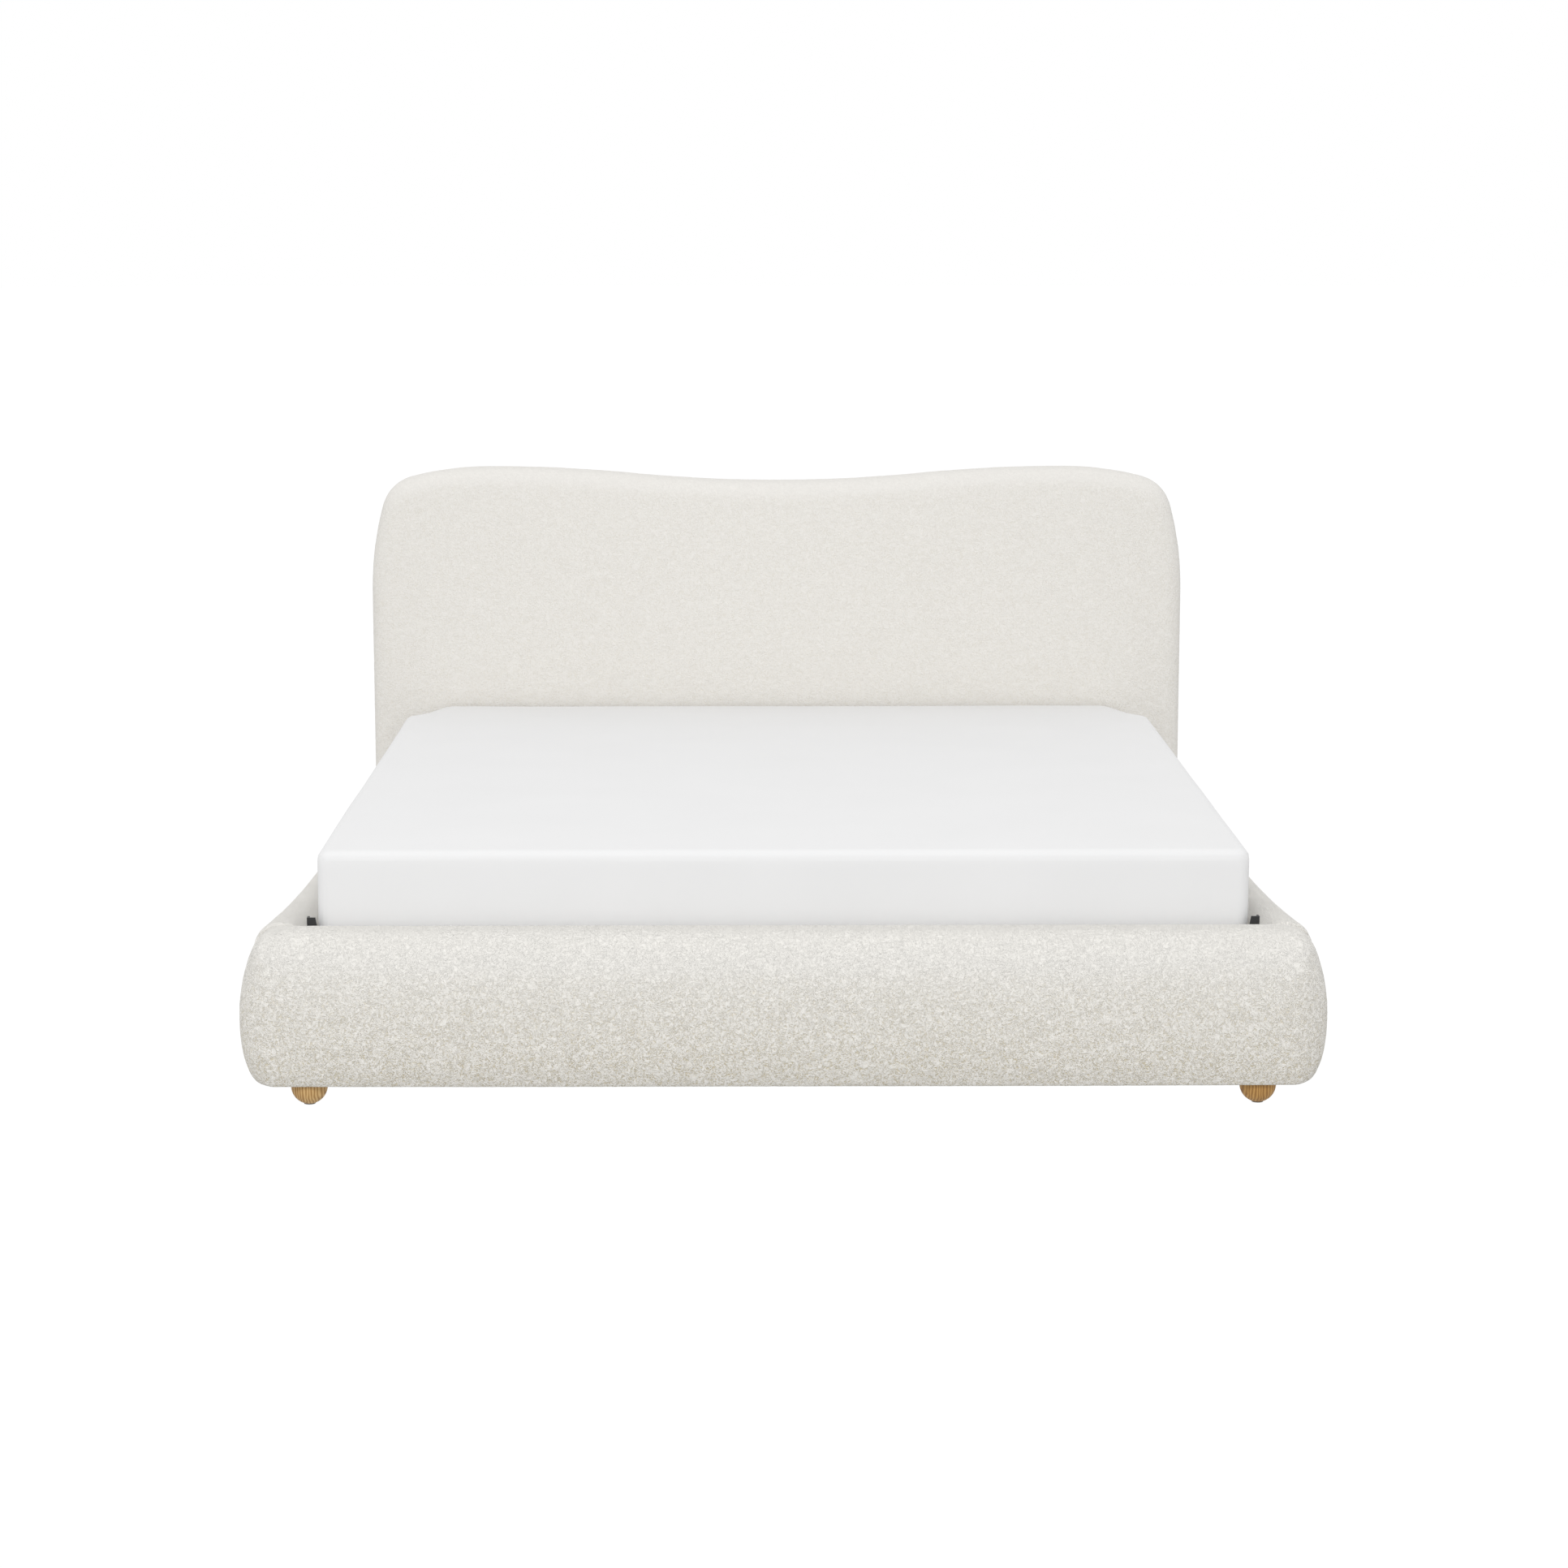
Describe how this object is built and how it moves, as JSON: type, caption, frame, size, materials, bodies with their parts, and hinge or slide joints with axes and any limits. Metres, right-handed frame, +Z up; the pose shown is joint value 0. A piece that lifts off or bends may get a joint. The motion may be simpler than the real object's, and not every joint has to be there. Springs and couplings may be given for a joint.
{
  "type": "upholstered headboard bed",
  "caption": "Low upholstered double bed with a wave-topped padded headboard, a fat rolled footboard, ball feet and a plain mattress on slats.",
  "frame": {"origin": "on the floor, under the middle of the whole bed's box", "axes": "+Z up, +Y from the foot of the bed towards the headboard, +X to the right for someone standing at the foot and facing the headboard"},
  "size_m": [2.082, 2.32, 1.0545],
  "materials": {
    "boucle": "matte",
    "upholstery_foam": "matte",
    "back_cloth": "matte",
    "plywood": "matte",
    "slat_wood": "satin",
    "oak": "satin",
    "felt": "matte",
    "black_steel": "satin",
    "black_bolts": "satin",
    "zinc_steel": "satin",
    "black_plastic": "matte",
    "mattress_foam": "matte",
    "mattress_cloth": "matte",
    "pine": "matte"
  },
  "bodies": {
    "bed_frame": {"centre_beam": "pine", "foot_and_leg_studs": "zinc_steel", "foot_glides": "felt", "footboard_base": "plywood", "footboard_board": "plywood", "footboard_cover": "boucle", "footboard_foam": "upholstery_foam", "frame_bolts": "black_bolts", "front_beam_hanger": "black_steel", "front_left_bracket": "black_steel", "front_left_foot": "oak", "front_right_bracket": "black_steel", "front_right_foot": "oak", "front_support_leg": "pine", "headboard_back_cloth": "back_cloth", "headboard_bottom_rail": "pine", "headboard_cover": "boucle", "headboard_foam": "upholstery_foam", "headboard_left_post": "pine", "headboard_lower_board": "plywood", "headboard_middle_rail": "pine", "headboard_panel": "plywood", "headboard_right_post": "pine", "headboard_top_rail": "pine", "left_rail_board": "plywood", "left_rail_cover": "boucle", "left_rail_foam": "upholstery_foam", "left_slat_ledge": "pine", "rear_beam_hanger": "black_steel", "rear_left_bracket": "black_steel", "rear_left_foot": "oak", "rear_right_bracket": "black_steel", "rear_right_foot": "oak", "rear_support_leg": "pine", "right_rail_board": "plywood", "right_rail_cover": "boucle", "right_rail_foam": "upholstery_foam", "right_slat_ledge": "pine", "slat_01": "slat_wood", "slat_02": "slat_wood", "slat_03": "slat_wood", "slat_04": "slat_wood", "slat_05": "slat_wood", "slat_06": "slat_wood", "slat_07": "slat_wood", "slat_08": "slat_wood", "slat_09": "slat_wood", "slat_10": "slat_wood", "slat_11": "slat_wood", "slat_12": "slat_wood", "slat_13": "slat_wood", "slat_14": "slat_wood", "wood_screws": "zinc_steel"},
    "mattress": {"mattress_core": "mattress_foam", "mattress_cover": "mattress_cloth"},
    "front_leveller_pad": {"front_leveller_pad": "black_plastic"},
    "front_leveller_screw": {"front_leveller_screw": "zinc_steel"},
    "rear_leveller_pad": {"rear_leveller_pad": "black_plastic"},
    "rear_leveller_screw": {"rear_leveller_screw": "zinc_steel"}
  },
  "joints": [
    {"name": "mattress_lift", "type": "slide", "parent": "bed_frame", "child": "mattress", "axis": [0, 0, 1], "range_m": [0, 0.82]},
    {"name": "front_leveller_height", "type": "slide", "parent": "bed_frame", "child": "front_leveller_pad", "axis": [0, 0, 1], "range_m": [0, 0.01125]},
    {"name": "front_leveller_turn", "type": "hinge", "parent": "front_leveller_pad", "child": "front_leveller_screw", "pos_m": [0, -0.34, 0], "axis": [0, 0, 1], "range_deg": [0, 3240]},
    {"name": "rear_leveller_height", "type": "slide", "parent": "bed_frame", "child": "rear_leveller_pad", "axis": [0, 0, 1], "range_m": [0, 0.01125]},
    {"name": "rear_leveller_turn", "type": "hinge", "parent": "rear_leveller_pad", "child": "rear_leveller_screw", "pos_m": [0, 0.34, 0], "axis": [0, 0, 1], "range_deg": [0, 3240]}
  ],
  "couplings": [
    {"joint": "front_leveller_turn", "follows": "front_leveller_height", "rad_per_m": 5026.5},
    {"joint": "rear_leveller_turn", "follows": "rear_leveller_height", "rad_per_m": 5026.5}
  ]
}
